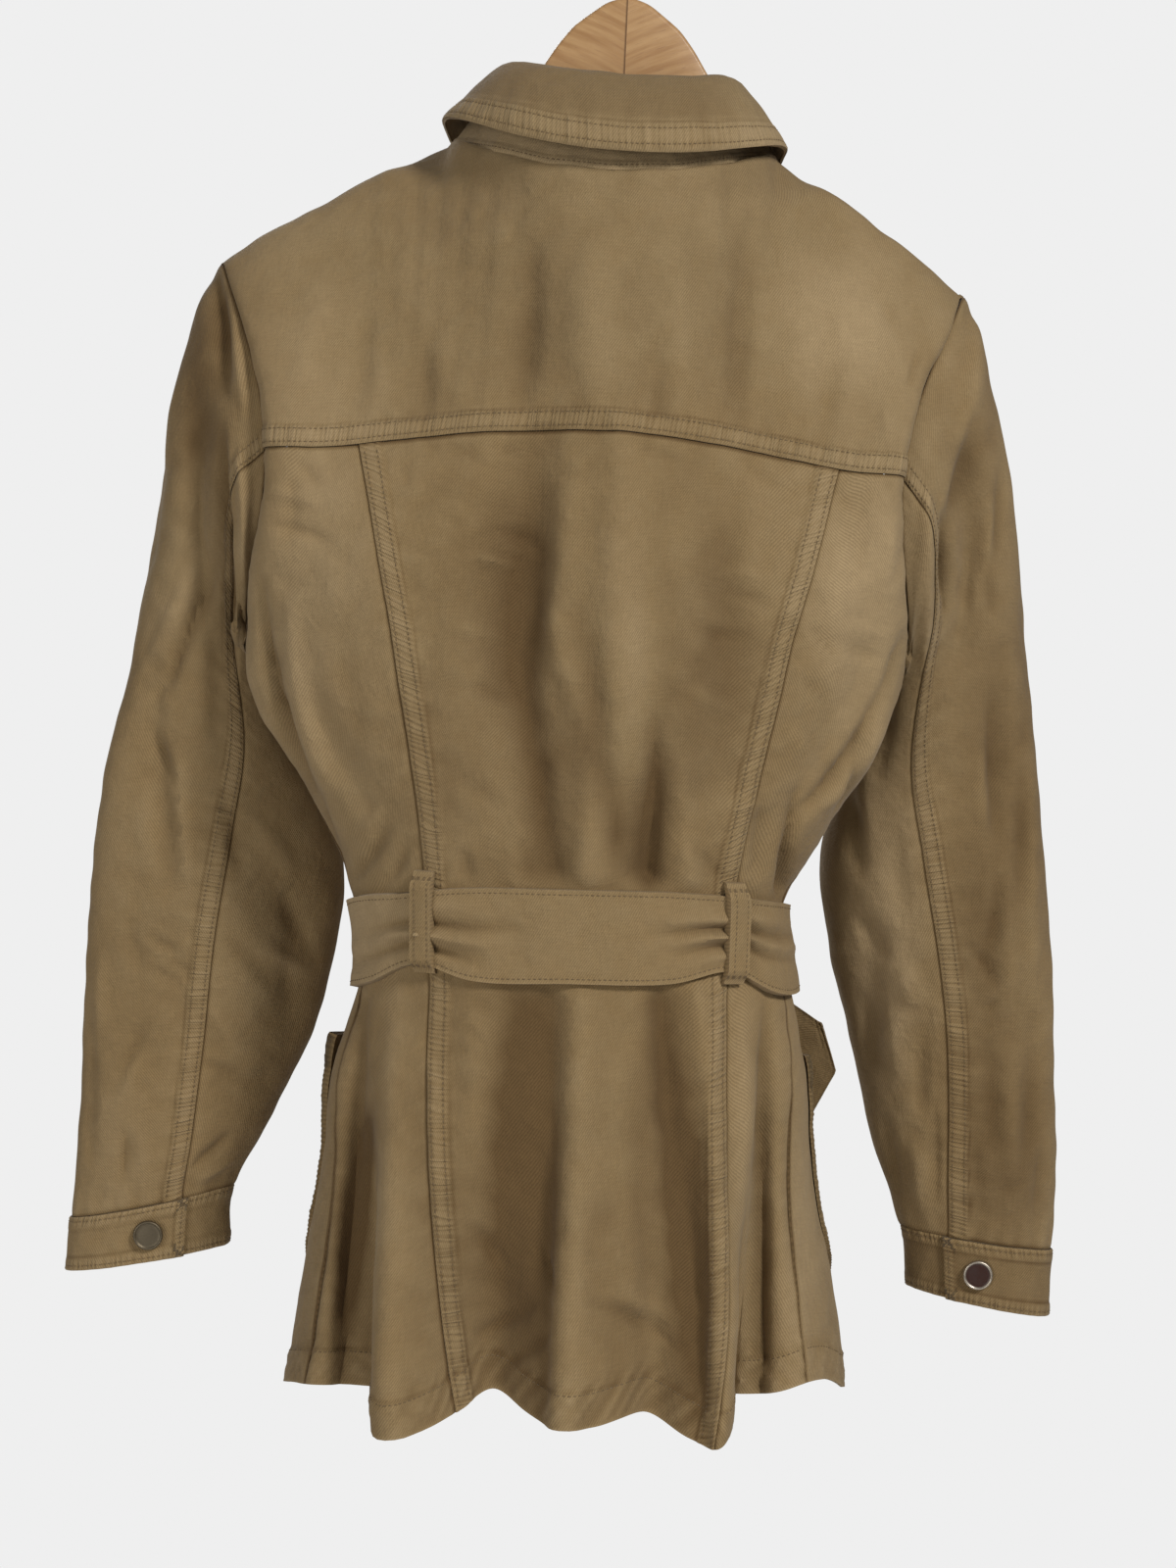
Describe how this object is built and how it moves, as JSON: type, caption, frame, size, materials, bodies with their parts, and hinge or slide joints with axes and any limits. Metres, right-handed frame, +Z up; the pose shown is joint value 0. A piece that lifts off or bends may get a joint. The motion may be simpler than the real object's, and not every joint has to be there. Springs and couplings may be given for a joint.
{
  "type": "belted trench jacket on a wooden hanger",
  "caption": "Short belted trench coat in khaki cotton twill with yoke, princess seams and cuffed sleeves, hanging from a curved wooden hanger with a wire hook.",
  "frame": {"origin": "top of the inside of the hanger's hook, where a rail bears, on the hanger's centre line", "axes": "+X towards the wearer's left, +Y towards the back of the coat, +Z up; the front faces -Y"},
  "size_m": [0.5887, 0.2186, 0.8656],
  "materials": {
    "khaki_twill": "matt washed cotton twill",
    "dull_nickel": "dull nickel",
    "brown_enamel": "dark red-brown enamel with a light rim",
    "beech": "clear satin varnish",
    "bright_steel": "bright wire"
  },
  "bodies": {
    "root": {"back_center": "khaki_twill", "back_side_left": "khaki_twill", "back_side_right": "khaki_twill", "back_yoke": "khaki_twill", "belt_band": "khaki_twill", "belt_knot": "khaki_twill", "belt_loop_left": "khaki_twill", "belt_loop_right": "khaki_twill", "belt_tail_left": "khaki_twill", "belt_tail_right": "khaki_twill", "collar_fall": "khaki_twill", "collar_stand": "khaki_twill", "cuff_button_left": "dull_nickel", "cuff_button_right": "brown_enamel", "cuff_left": "khaki_twill", "cuff_right": "khaki_twill", "front_button_1": "dull_nickel", "front_button_2": "dull_nickel", "front_button_3": "dull_nickel", "front_button_4": "dull_nickel", "front_button_5": "dull_nickel", "front_button_6": "dull_nickel", "front_left": "khaki_twill", "front_placket": "khaki_twill", "front_right": "khaki_twill", "hanger_arm_left": "beech", "hanger_arm_right": "beech", "hanger_hook": "bright_steel", "pocket_left": "khaki_twill", "pocket_right": "khaki_twill", "sleeve_under_left": "khaki_twill", "sleeve_under_right": "khaki_twill", "sleeve_upper_left": "khaki_twill", "sleeve_upper_right": "khaki_twill"}
  },
  "joints": []
}
